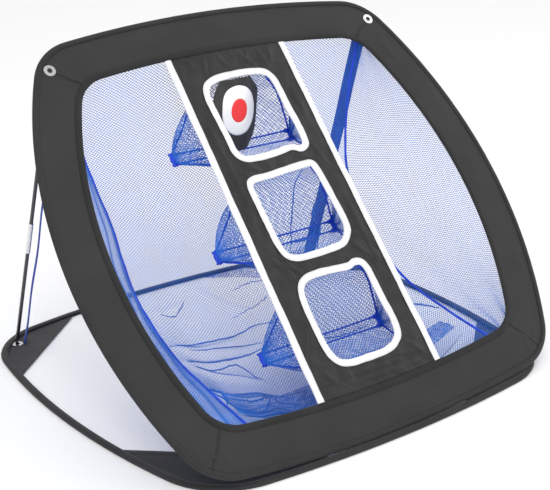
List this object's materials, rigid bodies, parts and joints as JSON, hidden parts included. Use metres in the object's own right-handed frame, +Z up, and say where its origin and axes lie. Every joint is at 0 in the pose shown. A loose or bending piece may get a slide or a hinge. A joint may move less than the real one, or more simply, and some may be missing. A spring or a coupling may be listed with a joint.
{
  "type": "golf chipping net",
  "caption": "Pop-up golf chipping net: leaning fabric panel with bound target holes, net pockets, hanging bullseye and ball-catching bag on a spring-wire base.",
  "frame": {"origin": "on the ground under the middle of the object's outline", "axes": "+X to the object's left-to-right width seen from the front, +Y towards the back, +Z up; the target side faces -Y"},
  "size_m": [0.6602, 0.583, 0.4492],
  "materials": {
    "black_cloth": "matt",
    "black_cloth_edge": "matt",
    "blue_net": "open mesh",
    "eyelet": "dark nickel",
    "net_piping": "matt",
    "rod_black": "semi-gloss",
    "rod_metal": "satin",
    "spring_wire": "satin",
    "target_red": "matt",
    "target_white": "matt",
    "webbing": "ribbed",
    "white_tape": "matt"
  },
  "bodies": {
    "base": {"base_eyelet_left": "eyelet", "base_eyelet_right": "eyelet", "base_hoop_sleeve": "black_cloth_edge", "base_hoop_wire": "spring_wire", "base_patch_back_left": "black_cloth", "base_patch_back_right": "black_cloth", "base_patch_front_left": "black_cloth", "base_patch_front_right": "black_cloth", "strap_left": "webbing", "strap_right": "webbing"},
    "front_panel": {"centre_strip": "black_cloth", "front_band_bottom": "black_cloth", "front_band_left": "black_cloth", "front_band_right": "black_cloth", "front_band_top": "black_cloth", "front_corner_seams": "black_cloth_edge", "front_eyelet_left": "eyelet", "front_eyelet_right": "eyelet", "front_hem_sleeve": "black_cloth_edge", "front_hoop_wire": "spring_wire", "front_inner_hem": "black_cloth_edge", "hole_binding_bottom": "white_tape", "hole_binding_middle": "white_tape", "hole_binding_top": "white_tape", "net_back_panel": "blue_net", "net_gusset_left": "blue_net", "net_gusset_right": "blue_net", "net_seam_left": "net_piping", "net_seam_right": "net_piping", "pocket_bottom": "blue_net", "pocket_end_bottom": "net_piping", "pocket_end_middle": "net_piping", "pocket_end_top": "net_piping", "pocket_middle": "blue_net", "pocket_top": "blue_net", "strip_binding_left": "white_tape", "strip_binding_right": "white_tape"},
    "target": {"target_bullseye": "target_red", "target_disc": "target_white", "target_patch": "black_cloth"},
    "rod_left": {"rod_left_ferrule": "rod_metal", "rod_left_foot": "rod_metal", "rod_left_head": "rod_metal", "rod_left_lower": "rod_black", "rod_left_upper": "rod_black"},
    "rod_right": {"rod_right_ferrule": "rod_metal", "rod_right_foot": "rod_metal", "rod_right_head": "rod_metal", "rod_right_lower": "rod_black", "rod_right_upper": "rod_black"}
  },
  "joints": [
    {"name": "panel_fold", "type": "hinge", "parent": "base", "child": "front_panel", "pos_m": [0, -0.2805, 0.0025], "axis": [-1, 0, 0], "range_deg": [0, 31.5], "deforming": ["net_back_panel", "net_gusset_left", "net_gusset_right", "net_seam_left", "net_seam_right", "pocket_bottom", "pocket_end_bottom", "pocket_end_middle", "pocket_end_top", "pocket_middle", "pocket_top", "strap_left", "strap_right"]},
    {"name": "rod_left_swing", "type": "hinge", "parent": "base", "child": "rod_left", "pos_m": [-0.2595, 0.2325, 0.0094], "axis": [-1, 0, 0], "range_deg": [0, 105.7]},
    {"name": "rod_right_swing", "type": "hinge", "parent": "base", "child": "rod_right", "pos_m": [0.2595, 0.2325, 0.0094], "axis": [-1, 0, 0], "range_deg": [0, 105.7]},
    {"name": "target_swing", "type": "hinge", "parent": "front_panel", "child": "target", "pos_m": [-0.004, 0.04687, 0.3722], "axis": [1, 0, 0], "range_deg": [-40, 10]}
  ],
  "couplings": [
    {"joint": "rod_left_swing", "follows": "panel_fold", "ratio": 3.355},
    {"joint": "rod_right_swing", "follows": "panel_fold", "ratio": 3.355}
  ]
}
